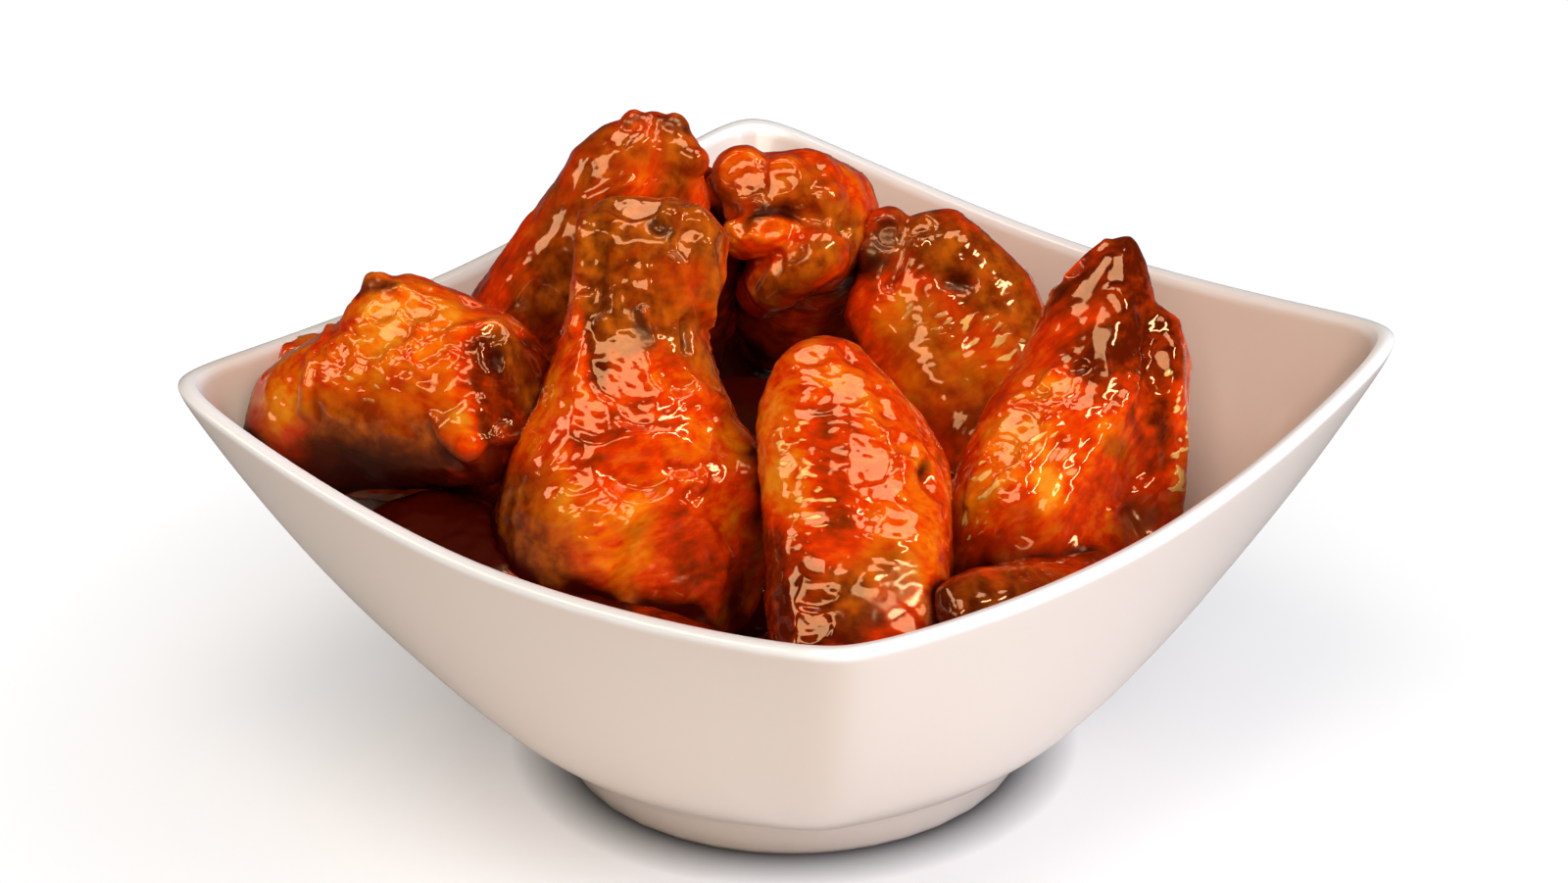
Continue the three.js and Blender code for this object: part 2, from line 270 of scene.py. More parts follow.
floor = {
    "reach": 4.0, "colour": "#FFFFFF", "shade": "#4A4644",  # lengths in metres
    "plainFrom": 0.17, "shadedWithin": 0.06, "shadedShare": 0.75,  # how far from the middle shadows show
    "foot": 0.041, "footShade": 0.053,  # from where to where the painted shadow round the foot fades
    "glow": 1.05, "mirroredGlow": 0.12,  # how bright the plain part is, and how bright it is mirrored
}


def whiteBackgroundPaper():
    # matt white seamless paper, glowing so brightly further off that no shadow shows there, with a painted
    # shadow round the foot
    paper, tree = emptyMaterial("whiteBackgroundPaper")
    place = node(tree, "ShaderNodeTexCoord").outputs["Object"]
    away = node(tree, "ShaderNodeVectorMath", {"operation": "LENGTH"}, {0: place}).outputs["Value"]
    shaded = node(tree, "ShaderNodeMapRange",
                  {"From Min": floor["plainFrom"], "From Max": floor["shadedWithin"],
                   "To Max": floor["shadedShare"]}, {"Value": away}).outputs[0]
    # painted shadow: the paper is darker in a ring round the foot
    offFoot = node(tree, "ShaderNodeMapRange", {"From Min": floor["foot"], "From Max": floor["footShade"]},
                   {"Value": away}).outputs[0]
    tint = node(tree, "ShaderNodeMix",
                {"data_type": "RGBA", 6: linear(floor["shade"]), 7: linear(floor["colour"])},
                {0: offFoot}).outputs[2]
    matt = node(tree, "ShaderNodeBsdfDiffuse", {}, {"Color": tint})
    mirrored = node(tree, "ShaderNodeLightPath").outputs["Is Glossy Ray"]
    glow = node(tree, "ShaderNodeMapRange", {"To Min": floor["glow"], "To Max": floor["mirroredGlow"]},
                {"Value": mirrored}).outputs[0]
    bright = node(tree, "ShaderNodeEmission", {}, {"Color": tint, "Strength": glow})
    mixed = node(tree, "ShaderNodeMixShader", {}, {0: shaded, 1: bright.outputs[0], 2: matt.outputs[0]})
    node(tree, "ShaderNodeOutputMaterial", {}, {"Surface": mixed.outputs[0]})
    return paper


def addFloor():
    bm = bmesh.new()
    bmesh.ops.create_grid(bm, x_segments=1, y_segments=1, size=floor["reach"])
    obj = objectFrom(bm, "floor")
    obj.data.materials.append(whiteBackgroundPaper())


# bowl

porcelain = {
    "white": "#E8D5C6", "rim": "#FFFCF8",
    "rimDepth": 1.2, "rimFade": 1.0,  # how far below the rim's top the painted highlight reaches
    "waves": 30, "waveDepth": 0.5, "waveStrength": 0.04,
}


def glazedPorcelain():
    # white hard-paste porcelain, glazed and fired: warm white and glossy, with faint waves in the glaze
    material, tree = emptyMaterial("glazedPorcelain")
    place = node(tree, "ShaderNodeTexCoord").outputs["Object"]
    waves = node(tree, "ShaderNodeTexNoise", {"Scale": 1 / (porcelain["waves"] * mm), "Detail": 2.0},
                 {"Vector": place})
    bump = node(tree, "ShaderNodeBump",
                {"Strength": porcelain["waveStrength"], "Distance": porcelain["waveDepth"] * mm},
                {"Height": waves.outputs["Fac"]})
    # painted highlight: the glaze is whiter along the top of the rim
    rimHighlightShare = node(tree, "ShaderNodeAttribute", {"attribute_name": "rim"}).outputs["Fac"]
    white = node(tree, "ShaderNodeMix", {"data_type": "RGBA", 6: linear(porcelain["white"]),
                                         7: linear(porcelain["rim"])}, {0: rimHighlightShare}).outputs[2]
    shader = node(tree, "ShaderNodeBsdfPrincipled",
                  {"Roughness": 0.35, "IOR": 1.5, "Coat Weight": 0.6, "Coat Roughness": 0.08},
                  {"Base Color": white, "Coat Normal": bump.outputs[0]})
    node(tree, "ShaderNodeOutputMaterial", {}, {"Surface": shader.outputs[0]})
    return material


bowl = {
    "levels": 3,
    "faceTurn": 40, "cornerTurn": 60,  # degrees, up to which two triangles become one four-cornered face
    "sharpBelow": 1.5, "crease": 0.7,  # the foot's edge keeps this much of its sharpness
    "rimSteps": 180,
}


def belowRim(points):
    # how far each point lies below the rim's top in its own direction from the middle
    turns = np.arctan2(points[:, 1], points[:, 0]) * bowl["rimSteps"] / (2 * math.pi)
    steps = np.unique(np.round(turns))
    tops = [points[np.round(turns) == step, 2].max() for step in steps]
    return np.interp(turns, steps, tops) - points[:, 2]


def buildBowl(material):
    bm = bmesh.new()
    bm.from_mesh(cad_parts["bowl"].data)
    bmesh.ops.remove_doubles(bm, verts=bm.verts, dist=mergeWithin * mm)
    bmesh.ops.join_triangles(bm, faces=bm.faces, angle_face_threshold=math.radians(bowl["faceTurn"]),
                             angle_shape_threshold=math.radians(bowl["cornerTurn"]))
    crease = bm.edges.layers.float.new("crease_edge")
    for edge in bm.edges:
        if max(vert.co.z for vert in edge.verts) < bowl["sharpBelow"] * mm:
            edge[crease] = bowl["crease"]
    obj = objectFrom(bm, "porcelain_bowl")
    rounding = obj.modifiers.new("rounding", "SUBSURF")
    rounding.levels = rounding.render_levels = bowl["levels"]
    mesh = applied(obj)
    # painted highlight along the top of the rim
    below = belowRim(pointsOf(mesh)) / mm
    paint(mesh, "rim", (porcelain["rimDepth"] + porcelain["rimFade"] - below) / porcelain["rimFade"])
    mesh.materials.clear()
    mesh.materials.append(material)
    mesh.shade_smooth()
    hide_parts("bowl")
    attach(obj, "root")
    report(f"bowl: {triangles(mesh)} triangles")


# sauce and skin

sauce = {
    # from thick and dark to thin over golden skin
    "tones": [(0.0, "#5A1200"), (0.2, "#8E2600"), (0.5, "#DE3400"), (0.75, "#EA6A04"), (1.0, "#F2941C")],
    # roast and brown are browned skin and char burnt spots; the dark red after them is painted shade
    "roast": "#C05C0A", "brown": "#662A04", "char": "#1C0A03", "shadeColour": "#3A0500", "fleckAndGlint": "#FFC468",
    # size in mm, detail and roughness of each cloud, and whether it follows the place or the skin's fibres
    "clouds": {
        "broad": (9, 2, 0.5, "place"), "small": (3.2, 2, 0.5, "place"), "streaks": (4.5, 4, 0.6, "fibre"),
        "speckled": (4.2, 1, 0.5, "fibre"), "roasted": (3.0, 5, 0.5, "place"),
        "edges": (6, 3, 0.5, "place"), "charEdges": (1.8, 3, 0.5, "place"), "film": (3.2, 1, 0.5, "place"),
    },
    # what is painted on the skin, the cloud that breaks it up, and how much
    "mottling": [("tone", "broad", 0.8), ("tone", "small", 0.5), ("tone", "streaks", 0.75),
                 ("browned", "edges", 0.8), ("charred", "charEdges", 0.6)],
    "toneShift": -1.0,  # about the mean of the clouds, so that they lighten as much as they darken
    "speckRange": (0.55, 0.62), "roastRange": (0.36, 0.66),
    # from which value to which each layer covers the ones under it, the middle two being painted shade
    "layers": [("browned", 0.45, 1.5, "roast"), ("sunk", 0.3, 3.6, "shadeColour"), ("paintedShade", 0.28, 0.7, "shadeColour"),
               ("charred", 0.75, 1.5, "char")],
    "pimples": {"Strength": 0.6, "Distance": 0.3 * mm}, "film": {"Strength": 0.3, "Distance": 0.4 * mm},
    # painted shade: where the skin is shut in between the wings, it is darker, rougher and mirrors less
    "dull": {"From Min": 0.5, "From Max": 0.85, "To Min": 0.07, "To Max": 0.5}, "charDull": 0.18,
    "gloss": {"From Min": 0.35, "From Max": 0.85, "To Min": 0.5, "To Max": 0.02},
    "shader": {"Subsurface Weight": 0.12, "Subsurface Radius": (1.0, 0.3, 0.08),
               "Subsurface Scale": 2.0 * mm, "IOR": 1.62, "Specular Tint": linear("#FFC890")},
}


def saucedSkin():
    # roasted chicken skin under sticky sweet chilli sauce: saturated, a little clear, and glossy as if wet
    material, tree = emptyMaterial("saucedChickenSkin")
    place = node(tree, "ShaderNodeTexCoord").outputs["Object"]
    fibre = node(tree, "ShaderNodeAttribute", {"attribute_name": "fibre"}).outputs["Vector"]
    followed = {"place": (place, mm), "fibre": (fibre, 1)}  # each with the unit that it counts in
    clouds = {}
    for name, (size, detail, roughness, follows) in sauce["clouds"].items():
        source, unit = followed[follows]
        clouds[name] = node(tree, "ShaderNodeTexNoise",
                            {"Scale": 1 / (size * unit), "Detail": detail, "Roughness": roughness},
                            {"Vector": source}).outputs["Fac"]
    painted = {}
    for name in ("tone", "flecked", "browned", "sunk", "paintedShade", "charred"):
        painted[name] = node(tree, "ShaderNodeAttribute", {"attribute_name": name}).outputs["Fac"]
    mottled = dict(painted)
    for name, cloud, much in sauce["mottling"]:
        mottled[name] = node(tree, "ShaderNodeMath", {"operation": "MULTIPLY_ADD", 1: much},
                             {0: clouds[cloud], 2: mottled[name]}).outputs[0]

    tone = node(tree, "ShaderNodeMath", {"operation": "ADD", 1: sauce["toneShift"]}, {0: mottled["tone"]})
    tones = node(tree, "ShaderNodeValToRGB", {}, {"Fac": tone.outputs[0]})
    stops = tones.color_ramp.elements
    for i, (where, colour) in enumerate(sauce["tones"]):
        stop = stops[i] if i < len(stops) else stops.new(where)
        stop.position = where
        stop.color = linear(colour)

    # pale specks where the skin is flecked, partly fat and partly painted glints, also raised as little
    # pimples
    flecks = node(tree, "ShaderNodeMath", {"operation": "MULTIPLY"},
                  {0: clouds["speckled"], 1: painted["flecked"]}).outputs[0]
    low, high = sauce["speckRange"]
    flecksAndGlints = node(tree, "ShaderNodeMapRange", {"From Min": low, "From Max": high},
                  {"Value": flecks}).outputs[0]
    base = node(tree, "ShaderNodeMix", {"data_type": "RGBA", 7: linear(sauce["fleckAndGlint"])},
                {0: flecksAndGlints, 6: tones.outputs["Color"]}).outputs[2]
    low, high = sauce["roastRange"]
    pale = node(tree, "ShaderNodeMapRange", {"From Min": low, "From Max": high},
                {"Value": clouds["roasted"]}).outputs[0]
    roast = node(tree, "ShaderNodeMix",
                 {"data_type": "RGBA", 6: linear(sauce["brown"]), 7: linear(sauce["roast"])},
                 {0: pale}).outputs[2]
    for name, low, high, colour in sauce["layers"]:
        share = node(tree, "ShaderNodeMapRange", {"From Min": low, "From Max": high},
                     {"Value": mottled[name]}).outputs[0]
        layer = node(tree, "ShaderNodeMix", {"data_type": "RGBA", 7: linear(sauce[colour])},
                     {0: share, 6: base})
        if colour == "roast":
            tree.links.new(roast, layer.inputs[7])
        base = layer.outputs[2]

    pimples = node(tree, "ShaderNodeBump", sauce["pimples"], {"Height": flecksAndGlints})
    film = node(tree, "ShaderNodeBump", sauce["film"],
                {"Height": clouds["film"], "Normal": pimples.outputs[0]})
    dull = node(tree, "ShaderNodeMapRange", sauce["dull"], {"Value": painted["paintedShade"]}).outputs[0]
    dull = node(tree, "ShaderNodeMath", {"operation": "MULTIPLY_ADD", 1: sauce["charDull"]},
                {0: painted["charred"], 2: dull}).outputs[0]
    gloss = node(tree, "ShaderNodeMapRange", sauce["gloss"], {"Value": painted["paintedShade"]}).outputs[0]
    shader = node(tree, "ShaderNodeBsdfPrincipled", sauce["shader"],
                  {"Base Color": base, "Roughness": dull, "Specular IOR Level": gloss,
                   "Normal": film.outputs[0]})
    node(tree, "ShaderNodeOutputMaterial", {}, {"Surface": shader.outputs[0]})
    return material


# wings

skinDetail = {
    "voxel": 0.6, "coarseVoxel": 0.9,  # the coarse one for wings that hardly show
    "smoothing": 0.5, "smoothings": 16, "regain": 0.25,  # how much the smoothing takes off
    "strokeSpacing": 2.5, "lumpSpacing": 6.0,  # points of the picture
    "seedStep": (7.3, 3.1, 5.7),  # how far apart two seeds' patterns lie
    "fleckEdge": 0.3,  # the lower, the fuller a stroke of flecks
    "cutEdge": 4,  # the higher, the more suddenly a cut ends
}

wrinkles = {
    "width": 2.4, "height": 0.42, "stretch": 2.8,  # how much longer than wide
    "contrast": 2.4, "sunk": 0.5, "pattern": 31, "octaves": 2,
    "grain": 20,  # degrees, for a wing that names none
    "faint": 0.16,  # the share of their height that they have everywhere
    "loose": 0.6, "patch": 15, "patchEdge": 2.5, "patchPattern": 23,  # patches of loose skin
    "behind": (3, 0.4),  # how soon loose skin begins on the side turned away
}

# the skin's waves: length and height in mm, a shift that gives each its own pattern, and its octaves
skinWaves = {
    "swell": (12.0, 0.6, 0, 1),
    "lump": (5.0, 0.3, 11, 2),
    "wander": (7, 1.5, 41, 1),  # sideways, so that the wrinkles meander
    "cutWave": (5, 0.35, 61, 1),
    "cutRipple": (2.2, 0.15, 67, 2),
}

# The shade between the wings: so many rays look from a little off the skin for a neighbour within reach, at
# one point in every so many, and what they find is smoothed over the skin.
shade = {"reach": 22.0, "rays": 24, "off": 0.8, "every": 60, "smoothings": 12}

# a hollow is painted shade: how far the skin lies below its own smoothed self, in mm, times the strength
hollow = {"smoothings": 8, "blur": 2, "strength": 5}

# where a facet faces when it mirrors a softbox to the camera: right, up and towards the camera
mirroring = {
    "front": (-0.19, 0.2, 0.96), "highLeft": (-0.11, 0.57, 0.81), "highRight": (0.21, 0.51, 0.84),
    "strip": (0.34, 0.27, 0.9),
}

# low tones of the low wings and the darker toned strokes on undersides are painted shade
# What each wing has of its own. A place is a point of the camera's picture, cast on the wing, and widths,
# heights and depths are in mm.
# - tone: from thick dark sauce, 0, to thin sauce over golden skin, 1, and toned: changes to it
# - grain: the angle in the picture along which the wrinkles run
# - cuts: x, y, depth, reach, and the softbox that the cut mirrors, or where it faces
# - lumps: path, radius and how deep the balls along it are sunk
# - folds: path, width and height
# - wrinkled, calm, flecked, browned, charred, and the strokes of painted shade: path, width and strength
# - shade: the share of the heap's shade that the wing takes, where it isn't all of it
wings = {
    "wing_front_drumette": {
        "seed": 1, "tone": 0.56, "grain": 20,
        "cuts": [(698, 580, 1.2, 13, (0.1, -0.3, 1.0)), (750, 600, 1.2, 10, (0.9, -0.3, 0.6)),
                 (724, 222, 0.0, 9, (0.7, 0.7, 0.1)), (642, 372, 0.7, 9, "front"),
                 (690, 378, 0.6, 5, (0.06, -0.12, 0.98)), (612, 414, 0.5, 7, (-0.24, 0.22, 0.95)),
                 (654, 408, 0.6, 6, "front"), (650, 205, 0.6, 6, "highLeft"), (704, 249, 0.6, 4, "front"),
                 (728, 479, 0.5, 2.4, "strip"), (708, 506, 0.5, 2.4, "strip"),
                 (590, 245, 0.5, 3, (-0.3, 0.2, 0.93)), (594, 292, 0.5, 3, (-0.3, 0.2, 0.93)),
                 (654, 462, 0.9, 9, (0.02, -0.16, 0.98)), (700, 456, 0.6, 6, (0.2, -0.16, 0.96))],
        "lumps": [([(716, 228)], 3.6, 1.5), ([(684, 222)], 2.4, 0.8), ([(762, 486)], 3.4, 1.5),
                  ([(763, 510)], 3.2, 1.5)],
        "folds": [
            ([(600, 215), (598, 250), (596, 300), (588, 335)], 2.4, 1.8),
            ([(614, 250), (613, 290), (609, 340), (614, 395)], 2.2, -0.8),
            ([(640, 262), (636, 300), (630, 335)], 2.0, -0.6),
            ([(668, 262), (676, 300), (686, 330)], 2.0, -0.6),
            ([(614, 331), (622, 347), (642, 367), (664, 378), (688, 383), (712, 399), (740, 418)], 2.6, 1.0),
            ([(650, 318), (660, 335), (668, 355)], 4.2, -1.0), ([(656, 318), (664, 350)], 1.6, 1.3),
            ([(699, 330), (700, 357)], 1.9, -1.3), ([(673, 232)], 2.4, -1.4),
            ([(722, 250), (728, 290), (722, 330)], 2.0, 1.4),
            ([(708, 262), (712, 300), (714, 335)], 1.6, -0.6),
            ([(690, 262), (700, 300), (706, 320)], 1.8, 0.9),
            ([(650, 548), (638, 577), (630, 602)], 2.6, -0.4),
            ([(708, 533), (722, 540), (752, 588), (763, 614)], 2.2, 1.0),
            ([(694, 536), (698, 518), (709, 505), (716, 494), (720, 480), (729, 478)], 1.4, 1.3),
            ([(677, 609)], 1.8, 0.7),
        ],
        "wrinkled": [([(690, 400), (735, 430)], 6, 0.7), ([(590, 500), (640, 560)], 9, 0.6)],
        "calm": [([(630, 440), (660, 480), (700, 470)], 11, 1.0)],
        "flecked": [([(600, 540), (640, 520)], 7, 0.6)],
        # its darker toned and browned strokes down the left lower side are partly browning, partly painted
        # shade
        "toned": [([(600, 540), (640, 560), (690, 470)], 9, 0.2),
                  ([(514, 500), (520, 560), (560, 600)], 11, -0.46),
                  ([(630, 450), (660, 470), (690, 500)], 11, -0.24),
                  ([(630, 250), (640, 330)], 10, -0.34), ([(700, 260), (700, 350)], 9, -0.26),
                  ([(600, 470), (590, 430)], 6, -0.12), ([(609, 222), (607, 300), (610, 390)], 3.0, -0.8),
                  ([(680, 570), (740, 600)], 9, -0.2), ([(745, 440), (760, 480)], 6, 0.1)],
        "browned": [([(610, 205), (720, 215)], 9, 1.0), ([(726, 240), (730, 330)], 6, 1.1),
                    ([(620, 225), (720, 235)], 11, 1.3), ([(606, 240), (612, 300), (640, 345)], 8, 1.1),
                    ([(660, 270), (690, 330), (722, 372)], 9, 0.9),
                    ([(506, 570), (530, 520), (555, 590)], 13, 1.1), ([(560, 605), (640, 622)], 6, 0.9)],
        "charred": [([(666, 228), (684, 240)], 3.2, 1.1), ([(650, 320), (662, 350)], 3.2, 1.0),
                    ([(699, 335), (700, 354)], 2.4, 1.2), ([(722, 345), (716, 372)], 3.0, 0.6)],
    },
    "wing_front_flat": {
        "seed": 2, "tone": 0.5, "grain": -8,
        "cuts": [(880, 466, 0.6, 7, "highRight"), (900, 512, 0.7, 8, (0.24, 0.48, 0.84)),
                 (928, 452, 0.4, 4, (0.28, 0.5, 0.82)), (866, 396, 0.3, 4, (0.16, 0.53, 0.83)),
                 (834, 598, 0.5, 5, "front"), (828, 640, 0.5, 4, (-0.22, 0.2, 0.96)),
                 (828, 358, 0.5, 4, "highLeft"), (876, 362, 0.5, 4, "highLeft")],
        "folds": [([(890, 523), (920, 512), (944, 492)], 4.0, -1.1),
                  ([(945, 484), (953, 505)], 2.6, -0.8),
                  ([(845, 420), (850, 500), (845, 580)], 6.0, -0.5),
                  ([(868, 347), (890, 385), (905, 430)], 2.4, -0.6),
                  ([(815, 560), (860, 575), (900, 560)], 3.0, -0.3)],
        "wrinkled": [([(850, 370), (885, 430), (905, 540)], 10, 0.6)],
        "calm": [([(790, 560), (860, 620), (880, 650)], 10, 0.9), ([(845, 420), (850, 540)], 5, 0.9)],
        "flecked": [([(800, 440), (830, 500), (820, 550)], 7, 0.9)],
        "toned": [([(790, 390), (775, 470), (800, 520)], 9, 0.26), ([(850, 430), (850, 580)], 7, -0.18),
                  ([(930, 520), (925, 600)], 8, 0.12), ([(780, 560), (800, 640), (870, 640)], 12, -0.5),
                  ([(860, 380), (900, 450)], 8, 0.1)],
        "browned": [([(870, 600), (910, 585)], 9, 0.85)],
        "charred": [([(880, 635), (915, 612), (925, 590)], 6, 0.6)],
    },
    "wing_pointed": {
        "seed": 3, "tone": 0.5, "grain": 35,
        "cuts": [(1036, 434, 0.4, 5, "highLeft"), (1083, 396, 0.5, 4, "highLeft"),
                 (1022, 462, 0.3, 4, (-0.2, 0.5, 0.84)), (1096, 276, 0.4, 3, "front")],
        "lumps": [([(1080, 394)], 3.6, 2.2)],
        "folds": [([(1170, 330), (1167, 400), (1160, 470)], 5.5, -1.1),
                  ([(1195, 360), (1203, 430), (1198, 500)], 4.0, 1.1),
                  ([(1090, 282), (1110, 264), (1130, 250)], 1.6, 0.9),
                  ([(1060, 404), (1085, 380), (1105, 374)], 1.8, -0.8),
                  ([(1140, 300), (1164, 345), (1158, 395), (1140, 425)], 2.8, 1.0),
                  ([(1045, 545), (1065, 480), (1080, 450)], 2.8, -0.9),
                  ([(1133, 522), (1158, 503)], 2.0, 0.9),
                  ([(1085, 520), (1110, 470), (1130, 440)], 2.6, 0.7)],
        "wrinkled": [([(1010, 440), (1040, 412), (1075, 402)], 7, 1.0),
                     ([(1000, 520), (1030, 470)], 7, 0.8),
                     ([(1132, 420), (1160, 385), (1168, 350)], 3, 0.8)],
        "calm": [([(1105, 300), (1150, 262), (1125, 330), (1130, 380)], 9, 0.9),
                 ([(1195, 370), (1203, 430)], 5, 0.7)],
        "flecked": [([(990, 530), (1020, 470), (1060, 450)], 8, 1.0),
                    ([(1197, 380), (1204, 440), (1198, 495)], 4, 1.0)],
        "toned": [([(1110, 295), (1150, 262), (1165, 330), (1130, 360)], 13, -0.42),
                  ([(1170, 330), (1192, 372), (1186, 470)], 7, -0.4),
                  ([(1200, 400), (1200, 490)], 4, 0.3),
                  ([(1000, 590), (1100, 575), (1150, 540)], 6, -0.06),
                  ([(1068, 488), (1072, 512)], 3.4, 0.4), ([(1066, 397), (1095, 393)], 3.6, 0.34),
                  ([(1000, 510), (1040, 450)], 9, 0.26)],
        "browned": [([(1130, 455), (1150, 462)], 3.4, 0.9), ([(1170, 520), (1150, 545)], 5, 0.8)],
        "charred": [([(1075, 312), (1100, 274), (1125, 252), (1149, 240)], 2.2, 0.8),
                    ([(1155, 418), (1166, 448)], 3.4, 0.9)],
    },
    "wing_left_drumette": {
        "seed": 4, "tone": 0.62, "grain": -22,
        "cuts": [(516, 395, 0.6, 11, (0.72, 0.05, 0.7)), (390, 312, 0.4, 4, "front"),
                 (404, 334, 0.4, 4, "front"), (378, 350, 0.3, 4, (-0.3, 0.1, 0.95)),
                 (428, 312, 0.4, 4, "front"), (480, 308, 0.5, 3, "front")],
        "lumps": [([(384, 293)], 3.0, 1.6), ([(478, 450)], 2.6, 0.4), ([(467, 436)], 3.2, 1.0),
                  ([(486, 424)], 3.2, 1.0)],
        "folds": [
            ([(466, 341), (508, 331), (527, 357), (543, 393), (546, 424), (537, 440), (505, 444)], 2.6, 1.5),
            ([(354, 302), (332, 345), (318, 362), (313, 395), (311, 420)], 1.8, 0.9),
            ([(443, 428), (461, 453), (479, 466), (490, 450)], 2.0, 1.0),
            ([(490, 352), (498, 380), (494, 408)], 2.0, 1.0), ([(512, 352), (530, 385)], 1.8, 0.9),
            ([(505, 366)], 3.0, -1.4), ([(512, 398), (518, 424)], 3.6, -1.2),
            ([(405, 372), (440, 352), (470, 340)], 1.6, 0.5),
            ([(415, 388), (445, 372), (462, 362)], 1.6, 0.5),
        ],
        "wrinkled": [([(350, 362), (400, 332), (430, 304)], 10, 1.0), ([(420, 372), (465, 345)], 7, 0.8)],
        "flecked": [([(350, 385), (380, 400)], 7, 0.7)],
        # its darker toned strokes along the underside are painted shade
        "toned": [([(380, 330), (440, 330)], 10, 0.12), ([(284, 400), (300, 425)], 6, 0.25),
                  ([(350, 456), (440, 464)], 10, -0.5),
                  ([(506, 362), (526, 385), (532, 412), (514, 428), (500, 395)], 7.5, -1.0),
                  ([(545, 360), (560, 400), (552, 440)], 7, -0.75), ([(462, 432), (478, 452)], 5, 0.3),
                  ([(482, 405), (478, 425)], 3, 0.3),
                  ([(330, 474), (370, 484), (430, 490), (490, 480)], 12, -0.6)],
        "browned": [([(330, 425), (400, 428), (440, 440)], 9, 0.9),
                    ([(505, 336), (540, 380), (548, 420)], 4, 0.9), ([(370, 400), (430, 400)], 7, 0.55)],
        "charred": [([(498, 372)], 3.0, 0.6), ([(524, 364)], 2.8, 0.7),
                    ([(358, 302), (378, 291), (398, 293)], 3.6, 1.1), ([(350, 440)], 7, 0.4),
                    ([(432, 432), (447, 440)], 5, 0.5), ([(330, 458), (400, 470), (450, 476)], 10, 0.8)],
    },
    "wing_brown_flat": {
        "seed": 5, "tone": 0.28, "grain": 30,
        "cuts": [(906, 240, 0.5, 3, "front"), (938, 232, 0.4, 3, "front")],
        "lumps": [([(905, 235)], 4.4, 1.5), ([(893, 262)], 3.4, 1.5)],
        "folds": [([(945, 224), (937, 252)], 2.4, 0.9), ([(968, 286), (984, 290)], 2.6, -1.3),
                  ([(925, 225), (918, 262), (908, 290)], 2.4, -1.2),
                  ([(990, 250), (1020, 300), (1045, 335)], 3.0, 0.3)],
        "wrinkled": [([(990, 240), (1020, 290)], 6, 0.2)],
        "calm": [([(940, 235), (1000, 262), (1040, 330)], 11, 0.9)],
        "flecked": [([(945, 325), (1000, 335), (1045, 370)], 8, 1.0)],
        "toned": [([(960, 250), (1010, 270)], 9, -0.16),
                  ([(930, 330), (960, 390), (1000, 370)], 12, 0.36)],
        "shadeStrokes": [([(930, 420), (960, 440), (1000, 430)], 9, 0.5)],
        "browned": [([(940, 330), (960, 380), (1010, 410)], 12, 0.8),
                    ([(930, 240), (1000, 262), (1040, 330)], 11, 0.8)],
        "charred": [([(908, 232), (893, 264)], 6, 1.1), ([(965, 286), (986, 290)], 3.2, 0.85)],
    },
    "wing_back_drumette": {
        "seed": 6, "tone": 0.46, "grain": 10,
        "cuts": [(760, 180, 1.0, 5, "front"), (797, 187, 1.1, 5, "front"), (790, 269, 0.4, 3.2, "front"),
                 (808, 254, 0.4, 3.2, "front"), (776, 225, 0.5, 3, "front"),
                 (752, 234, 0.4, 3, "highLeft"), (790, 240, 0.4, 2.5, (0.1, 0.5, 0.86))],
        "lumps": [([(758, 180)], 6.0, 3.0), ([(800, 186)], 5.6, 2.6), ([(838, 204)], 4.4, 2.0),
                  ([(762, 238), (780, 232)], 4.6, 2.0), ([(780, 296), (838, 256)], 5.4, 1.8),
                  ([(722, 200), (706, 208)], 2.4, 0.6)],
        "folds": [([(745, 217), (800, 212), (860, 236)], 2.6, -1.4),
                  ([(778, 168), (780, 200)], 2.0, -1.0),
                  ([(768, 292), (788, 262), (818, 244)], 1.6, -0.8)],
        "wrinkled": [([(840, 210), (870, 230)], 6, 0.8), ([(754, 240), (790, 234)], 4, 0.9)],
        "calm": [([(782, 298), (838, 256)], 7, 1.0)],
        "flecked": [([(745, 236), (790, 240)], 5, 0.5)],
        "toned": [([(750, 238), (785, 240)], 6, 0.26), ([(850, 215), (875, 232)], 6, 0.16),
                  ([(745, 185), (800, 195)], 8, 0.04)],
        "browned": [([(780, 300), (810, 276), (840, 256)], 5.5, 1.3), ([(820, 200), (870, 240)], 9, 0.9),
                    ([(742, 190), (800, 200)], 8, 0.7)],
        "charred": [([(740, 322), (800, 342), (870, 322)], 7, 0.5)],
    },
    "wing_tall_flat": {
        "seed": 7, "tone": 0.38, "grain": 50,
        "lumps": [([(708, 164)], 2.8, 0.0), ([(688, 130)], 2.8, 0.6), ([(648, 127)], 2.4, 0.2),
                  ([(668, 127)], 2.4, 0.4)],
        "folds": [([(664, 122), (658, 142), (648, 152)], 1.8, 0.9),
                  ([(600, 206), (625, 192), (645, 187)], 1.8, 0.6),
                  ([(560, 190), (530, 240), (505, 275)], 2.2, 0.5)],
        "wrinkled": [([(660, 135), (650, 160)], 6, 0.8)],
        "calm": [([(690, 170), (640, 190), (600, 240), (560, 310)], 12, 0.9)],
        "flecked": [([(600, 190), (640, 185)], 4, 0.6)],
        "toned": [([(590, 260), (560, 320)], 12, -0.34), ([(670, 150), (655, 165)], 5, 0.16),
                  ([(690, 140), (690, 180)], 6, -0.14), ([(560, 200), (520, 260)], 4, 0.14)],
        "browned": [([(610, 140), (640, 152), (600, 180)], 8, 0.9), ([(704, 163)], 4, 0.9),
                    ([(560, 200), (590, 280)], 9, 0.6), ([(690, 130), (690, 180)], 7, 0.8),
                    ([(600, 220), (560, 290)], 12, 0.7)],
        "charred": [([(640, 126), (648, 120), (668, 121), (690, 124), (702, 134)], 2.4, 1.0)],
    },
    # painted shade: the low and under wings, all but the low left one, are dark for lying deep in the heap
    "wing_low_front_left": {
